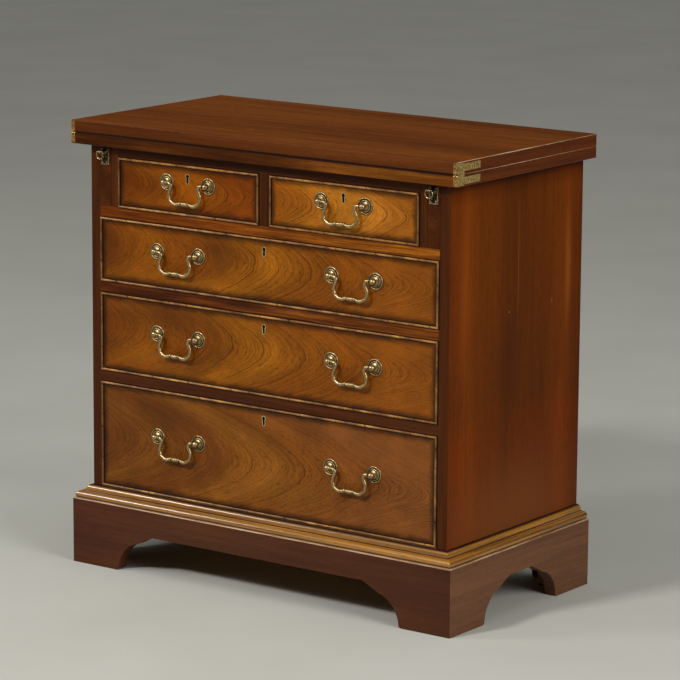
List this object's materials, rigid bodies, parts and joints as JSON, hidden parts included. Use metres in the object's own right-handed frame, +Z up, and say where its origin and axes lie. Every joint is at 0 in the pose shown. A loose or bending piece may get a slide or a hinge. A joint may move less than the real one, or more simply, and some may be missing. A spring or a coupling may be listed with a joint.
{
  "type": "bachelors chest",
  "caption": "Small wooden chest with a fold-over top on sliding lopers, short drawers over long ones, beaded fronts, swan-neck handles and bracket feet.",
  "frame": {"origin": "on the floor, under the middle of the chest", "axes": "+X to the right as the drawers are faced, +Y towards the back, +Z up"},
  "size_m": [0.8, 0.4206, 0.7807],
  "materials": {
    "case_wood": "waxed mahogany, red-brown",
    "top_wood": "polished mahogany, straight grain",
    "front_veneer": "polished figured mahogany veneer",
    "bead_wood": "polished half-round bead",
    "moulding_wood": "polished mahogany moulding",
    "plinth_wood": "waxed mahogany, darker",
    "secondary_wood": "bare oak and pine, dry",
    "handle_brass": "old polished brass",
    "hinge_brass": "tarnished brass",
    "pull_brass": "dark aged brass",
    "lock_brass": "aged brass"
  },
  "bodies": {
    "case": {"case_side_left": "case_wood", "case_side_right": "case_wood", "case_bottom": "secondary_wood", "case_back": "secondary_wood", "drawer_rails": "case_wood", "drawer_runners": "secondary_wood", "partitions": "case_wood", "base_moulding": "moulding_wood", "plinth_front": "plinth_wood", "plinth_returns": "plinth_wood", "plinth_blocks": "secondary_wood", "fixed_leaf": "top_wood", "hinge_plates_lower": "hinge_brass"},
    "leaf": {"folding_leaf": "top_wood", "hinge_plates_upper": "hinge_brass"},
    "hinge_links": {"hinge_links": "hinge_brass"},
    "loper_left": {"loper_left": "case_wood", "loper_left_pull": "pull_brass"},
    "loper_left_ring": {"loper_left_ring": "pull_brass"},
    "loper_right": {"loper_right": "case_wood", "loper_right_pull": "pull_brass"},
    "loper_right_ring": {"loper_right_ring": "pull_brass"},
    "short_drawer_left": {"short_drawer_left_front": "front_veneer", "short_drawer_left_beads": "bead_wood", "short_drawer_left_box": "secondary_wood", "short_drawer_left_posts": "handle_brass", "short_drawer_left_lock": "lock_brass"},
    "short_drawer_left_bolt": {"short_drawer_left_bolt": "lock_brass"},
    "short_drawer_left_bail": {"short_drawer_left_bail": "handle_brass"},
    "short_drawer_right": {"short_drawer_right_front": "front_veneer", "short_drawer_right_beads": "bead_wood", "short_drawer_right_box": "secondary_wood", "short_drawer_right_posts": "handle_brass", "short_drawer_right_lock": "lock_brass"},
    "short_drawer_right_bolt": {"short_drawer_right_bolt": "lock_brass"},
    "short_drawer_right_bail": {"short_drawer_right_bail": "handle_brass"},
    "upper_drawer": {"upper_drawer_front": "front_veneer", "upper_drawer_beads": "bead_wood", "upper_drawer_box": "secondary_wood", "upper_drawer_posts": "handle_brass", "upper_drawer_lock": "lock_brass"},
    "upper_drawer_bolt": {"upper_drawer_bolt": "lock_brass"},
    "upper_drawer_bail_left": {"upper_drawer_bail_left": "handle_brass"},
    "upper_drawer_bail_right": {"upper_drawer_bail_right": "handle_brass"},
    "middle_drawer": {"middle_drawer_front": "front_veneer", "middle_drawer_beads": "bead_wood", "middle_drawer_box": "secondary_wood", "middle_drawer_posts": "handle_brass", "middle_drawer_lock": "lock_brass"},
    "middle_drawer_bolt": {"middle_drawer_bolt": "lock_brass"},
    "middle_drawer_bail_left": {"middle_drawer_bail_left": "handle_brass"},
    "middle_drawer_bail_right": {"middle_drawer_bail_right": "handle_brass"},
    "lower_drawer": {"lower_drawer_front": "front_veneer", "lower_drawer_beads": "bead_wood", "lower_drawer_box": "secondary_wood", "lower_drawer_posts": "handle_brass", "lower_drawer_lock": "lock_brass"},
    "lower_drawer_bolt": {"lower_drawer_bolt": "lock_brass"},
    "lower_drawer_bail_left": {"lower_drawer_bail_left": "handle_brass"},
    "lower_drawer_bail_right": {"lower_drawer_bail_right": "handle_brass"}
  },
  "joints": [
    {"name": "hinge_link_turn", "type": "hinge", "parent": "case", "child": "hinge_links", "pos_m": [0, -0.20255, 0.7572], "axis": [1, 0, 0], "range_deg": [0, 90]},
    {"name": "leaf_turn", "type": "hinge", "parent": "hinge_links", "child": "leaf", "pos_m": [0, -0.20255, 0.7635], "axis": [1, 0, 0], "range_deg": [0, 90]},
    {"name": "loper_left_slide", "type": "slide", "parent": "case", "child": "loper_left", "axis": [0, -1, 0], "range_m": [0, 0.25]},
    {"name": "loper_left_ring_swing", "type": "hinge", "parent": "loper_left", "child": "loper_left_ring", "pos_m": [-0.3415, -0.19975, 0.7295], "axis": [-1, 0, 0], "range_deg": [-40, 125]},
    {"name": "loper_right_slide", "type": "slide", "parent": "case", "child": "loper_right", "axis": [0, -1, 0], "range_m": [0, 0.25]},
    {"name": "loper_right_ring_swing", "type": "hinge", "parent": "loper_right", "child": "loper_right_ring", "pos_m": [0.3415, -0.19975, 0.7295], "axis": [-1, 0, 0], "range_deg": [-40, 125]},
    {"name": "short_drawer_left_slide", "type": "slide", "parent": "case", "child": "short_drawer_left", "axis": [0, -1, 0], "range_m": [0, 0.3]},
    {"name": "short_drawer_left_bolt_slide", "type": "slide", "parent": "short_drawer_left", "child": "short_drawer_left_bolt", "axis": [0, 0, 1], "range_m": [0, 0.0065]},
    {"name": "short_drawer_left_bail_swing", "type": "hinge", "parent": "short_drawer_left", "child": "short_drawer_left_bail", "pos_m": [-0.16225, -0.19395, 0.689], "axis": [-1, 0, 0], "range_deg": [-5, 180]},
    {"name": "short_drawer_right_slide", "type": "slide", "parent": "case", "child": "short_drawer_right", "axis": [0, -1, 0], "range_m": [0, 0.3]},
    {"name": "short_drawer_right_bolt_slide", "type": "slide", "parent": "short_drawer_right", "child": "short_drawer_right_bolt", "axis": [0, 0, 1], "range_m": [0, 0.0065]},
    {"name": "short_drawer_right_bail_swing", "type": "hinge", "parent": "short_drawer_right", "child": "short_drawer_right_bail", "pos_m": [0.16225, -0.19395, 0.689], "axis": [-1, 0, 0], "range_deg": [-5, 180]},
    {"name": "upper_drawer_slide", "type": "slide", "parent": "case", "child": "upper_drawer", "axis": [0, -1, 0], "range_m": [0, 0.3]},
    {"name": "upper_drawer_bolt_slide", "type": "slide", "parent": "upper_drawer", "child": "upper_drawer_bolt", "axis": [0, 0, 1], "range_m": [0, 0.0065]},
    {"name": "upper_drawer_bail_left_swing", "type": "hinge", "parent": "upper_drawer", "child": "upper_drawer_bail_left", "pos_m": [-0.184, -0.19395, 0.5675], "axis": [-1, 0, 0], "range_deg": [-5, 180]},
    {"name": "upper_drawer_bail_right_swing", "type": "hinge", "parent": "upper_drawer", "child": "upper_drawer_bail_right", "pos_m": [0.184, -0.19395, 0.5675], "axis": [-1, 0, 0], "range_deg": [-5, 180]},
    {"name": "middle_drawer_slide", "type": "slide", "parent": "case", "child": "middle_drawer", "axis": [0, -1, 0], "range_m": [0, 0.3]},
    {"name": "middle_drawer_bolt_slide", "type": "slide", "parent": "middle_drawer", "child": "middle_drawer_bolt", "axis": [0, 0, 1], "range_m": [0, 0.0065]},
    {"name": "middle_drawer_bail_left_swing", "type": "hinge", "parent": "middle_drawer", "child": "middle_drawer_bail_left", "pos_m": [-0.184, -0.19395, 0.42425], "axis": [-1, 0, 0], "range_deg": [-5, 180]},
    {"name": "middle_drawer_bail_right_swing", "type": "hinge", "parent": "middle_drawer", "child": "middle_drawer_bail_right", "pos_m": [0.184, -0.19395, 0.42425], "axis": [-1, 0, 0], "range_deg": [-5, 180]},
    {"name": "lower_drawer_slide", "type": "slide", "parent": "case", "child": "lower_drawer", "axis": [0, -1, 0], "range_m": [0, 0.3]},
    {"name": "lower_drawer_bolt_slide", "type": "slide", "parent": "lower_drawer", "child": "lower_drawer_bolt", "axis": [0, 0, 1], "range_m": [0, 0.0065]},
    {"name": "lower_drawer_bail_left_swing", "type": "hinge", "parent": "lower_drawer", "child": "lower_drawer_bail_left", "pos_m": [-0.184, -0.19395, 0.24375], "axis": [-1, 0, 0], "range_deg": [-5, 180]},
    {"name": "lower_drawer_bail_right_swing", "type": "hinge", "parent": "lower_drawer", "child": "lower_drawer_bail_right", "pos_m": [0.184, -0.19395, 0.24375], "axis": [-1, 0, 0], "range_deg": [-5, 180]}
  ],
  "couplings": [
    {"joint": "hinge_link_turn", "follows": "leaf_turn", "ratio": 1}
  ]
}
